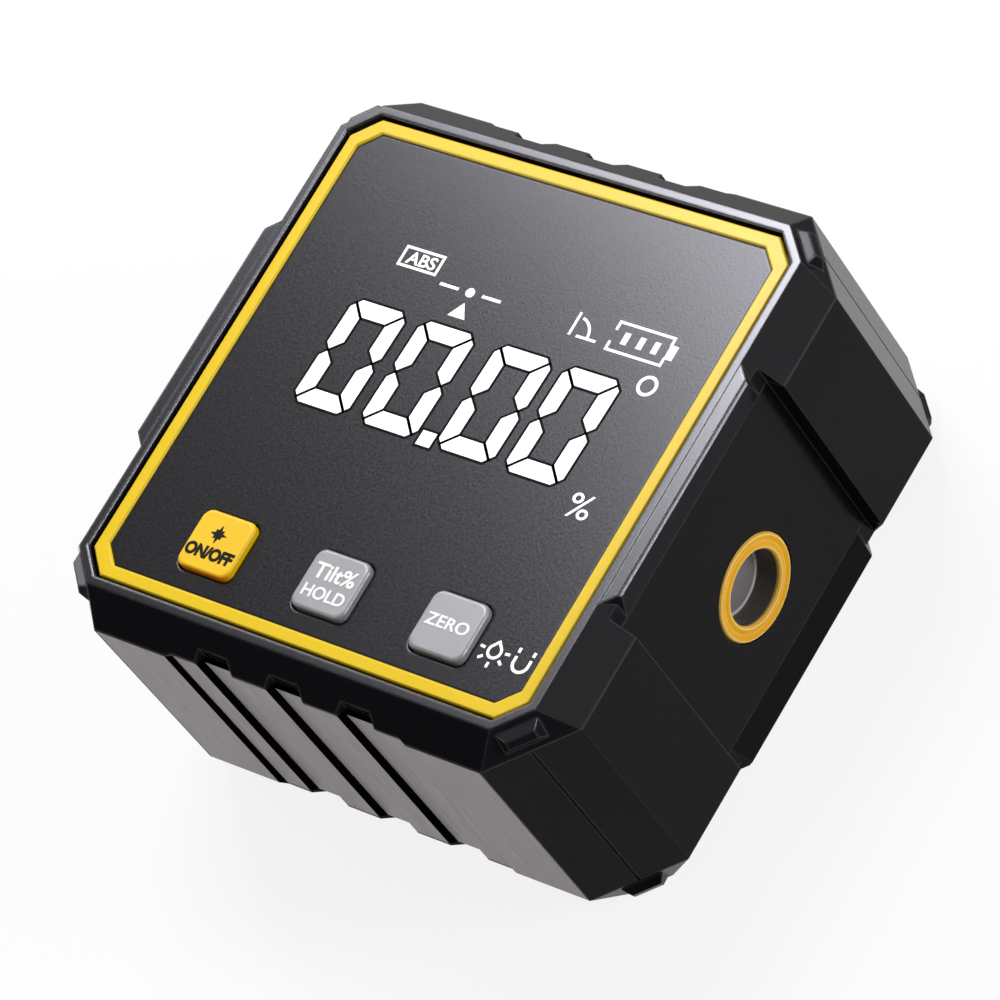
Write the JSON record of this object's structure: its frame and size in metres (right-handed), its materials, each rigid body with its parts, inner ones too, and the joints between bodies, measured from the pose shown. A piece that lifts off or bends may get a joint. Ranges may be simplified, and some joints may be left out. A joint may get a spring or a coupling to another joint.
{
  "type": "digital angle gauge",
  "caption": "Square digital angle gauge with bevelled octagon housing, grooved magnetic measuring faces, display panel with travelling keys and a laser aperture.",
  "frame": {"origin": "centre of the back face, which the gauge lies on", "axes": "+Z out of the display, +Y to the top of the display, +X to its right"},
  "size_m": [0.061, 0.061, 0.0315],
  "materials": {
    "black_housing": "black moulded ABS, satin",
    "measuring_plate": "grey anodised, satin, black groove flanks",
    "yellow_trim": "yellow painted moulding",
    "smoked_cover": "smoked acrylic, fine matt coat, white display marks",
    "yellow_key": "yellow moulded key with black print",
    "grey_key": "silver grey painted key with white print",
    "laser_trim": "yellow anodised ring",
    "window_glass": "clear coated glass",
    "brass": "turned",
    "board": "glass epoxy with green mask",
    "white_plastic": "moulded",
    "dark_plastic": "moulded",
    "steel": "plated",
    "black_steel": "black plated",
    "foam": "closed cell foam",
    "elastomer": "layered contact strip",
    "display_glass": "dark laminated cell",
    "magnet": "nickel plated",
    "battery_foil": "foil pouch"
  },
  "bodies": {
    "housing": {"front_bezel": "black_housing", "body_frame": "black_housing", "back_cover": "black_housing", "lower_measuring_plate": "measuring_plate", "upper_measuring_plate": "measuring_plate", "trim_ring": "yellow_trim", "display_cover": "smoked_cover", "power_switch": "steel", "hold_switch": "steel", "zero_switch": "steel", "display_gasket": "foam", "display_cell": "display_glass", "display_backlight": "white_plastic", "display_holder": "white_plastic", "contact_strips": "elastomer", "circuit_board": "board", "controller_chip": "dark_plastic", "tilt_sensor": "dark_plastic", "board_screws": "steel", "laser_trim_ring": "laser_trim", "laser_window": "window_glass", "laser_barrel": "brass", "laser_lens": "window_glass", "laser_diode": "brass", "laser_driver_board": "board", "laser_cradle": "white_plastic", "lower_magnets": "magnet", "upper_magnets": "magnet", "battery_cell": "battery_foil", "battery_pad": "foam", "charge_socket": "steel", "charge_board": "board", "cover_screws": "black_steel"},
    "power_button": {"power_key": "yellow_key", "power_plunger": "dark_plastic"},
    "hold_button": {"hold_key": "grey_key", "hold_plunger": "dark_plastic"},
    "zero_button": {"zero_key": "grey_key", "zero_plunger": "dark_plastic"}
  },
  "joints": [
    {"name": "power_press", "type": "slide", "parent": "housing", "child": "power_button", "axis": [0, 0, -1], "range_m": [0, 0.0005], "stiffness_N_per_m": 300},
    {"name": "hold_press", "type": "slide", "parent": "housing", "child": "hold_button", "axis": [0, 0, -1], "range_m": [0, 0.0005], "stiffness_N_per_m": 300},
    {"name": "zero_press", "type": "slide", "parent": "housing", "child": "zero_button", "axis": [0, 0, -1], "range_m": [0, 0.0005], "stiffness_N_per_m": 300}
  ]
}
